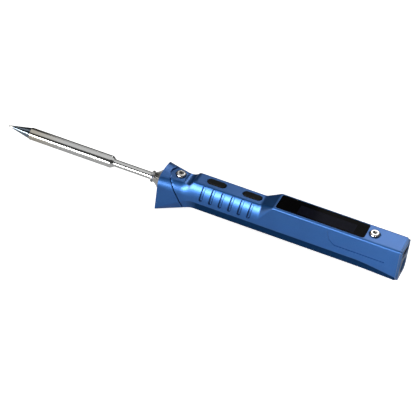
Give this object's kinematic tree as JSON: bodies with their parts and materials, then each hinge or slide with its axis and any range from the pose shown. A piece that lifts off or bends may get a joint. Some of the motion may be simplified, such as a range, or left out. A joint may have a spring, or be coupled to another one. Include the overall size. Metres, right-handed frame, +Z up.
{
  "type": "pen soldering iron",
  "caption": "Slim electric pen soldering iron with a conical heating cartridge, flared front guard, two keys, a screen and rear power sockets.",
  "frame": {"origin": "under the middle of the whole tool, on the plane through the lowest edge of the front guard", "axes": "+X from the bit towards the rear sockets along the tool, +Z up towards the screen, Y across; the tool is symmetric about Y = 0"},
  "size_m": [0.1786, 0.015, 0.0216],
  "materials": {
    "blue_metal": "satin blue anodised aluminium",
    "cap_metal": "satin blue-grey anodised aluminium",
    "black_window": "gloss black",
    "display_glass": "dark glass panel",
    "key_rubber": "matte charcoal, fine slanted texture",
    "polished_steel": "polished",
    "bit_iron": "dark plated cone with a bright tinned point",
    "nose_steel": "turned steel",
    "screw_steel": "polished stainless",
    "brass": "machined",
    "contact_metal": "plated spring metal",
    "copper": "copper wire",
    "resistance_wire": "oxidised wire",
    "ceramic": "white ceramic",
    "circuit_board": "dark green lacquer",
    "black_plastic": "moulded black",
    "chip_black": "moulded black package"
  },
  "bodies": {
    "handle": {"main_shell": "blue_metal", "front_guard": "blue_metal", "nose_cone": "nose_steel", "clamp_block": "brass", "end_cap": "cap_metal", "screen_window": "black_window", "display_module": "display_glass", "display_frame": "black_plastic", "main_board": "circuit_board", "board_tray": "black_plastic", "cartridge_guide": "black_plastic", "contact_spring_front": "contact_metal", "contact_spring_rear": "contact_metal", "switch_front": "black_plastic", "switch_rear": "black_plastic", "controller_chip": "chip_black", "inductor_coil": "chip_black", "motion_sensor": "chip_black", "power_transistors": "chip_black", "capacitors": "ceramic", "usb_shell": "polished_steel", "usb_tongue": "black_plastic", "dc_jack_body": "black_plastic", "dc_center_pin": "polished_steel", "dc_side_contact": "contact_metal", "ground_standoff": "brass"},
    "cartridge": {"tip_bit": "bit_iron", "heater_barrel": "polished_steel", "heater_core": "ceramic", "heater_winding": "resistance_wire", "heater_lead": "copper", "stem_tube": "polished_steel", "stem_insulators": "ceramic", "contact_ring_front": "contact_metal", "contact_ring_rear": "contact_metal", "stem_end_cap": "ceramic"},
    "clamp_screw": {"clamp_screw": "screw_steel"},
    "ground_screw": {"ground_screw": "screw_steel"},
    "key_front": {"key_front": "key_rubber"},
    "key_rear": {"key_rear": "key_rubber"}
  },
  "joints": [
    {"name": "cartridge_pull", "type": "slide", "parent": "handle", "child": "cartridge", "axis": [-1, 0, 0], "range_m": [0, 0.045]},
    {"name": "clamp_screw_turn", "type": "hinge", "parent": "handle", "child": "clamp_screw", "pos_m": [-0.0096, 0, 0.0161], "axis": [0, 0, 1], "range_deg": [0, 720]},
    {"name": "ground_screw_turn", "type": "hinge", "parent": "handle", "child": "ground_screw", "pos_m": [0.07535, 0, 0.0201], "axis": [0, 0, 1], "range_deg": [0, 720]},
    {"name": "key_front_press", "type": "slide", "parent": "handle", "child": "key_front", "axis": [0, 0, -1], "range_m": [0, 0.0003], "stiffness_N_per_m": 3000, "springref_m": -0.0001},
    {"name": "key_rear_press", "type": "slide", "parent": "handle", "child": "key_rear", "axis": [0, 0, -1], "range_m": [0, 0.0003], "stiffness_N_per_m": 3000, "springref_m": -0.0001}
  ]
}
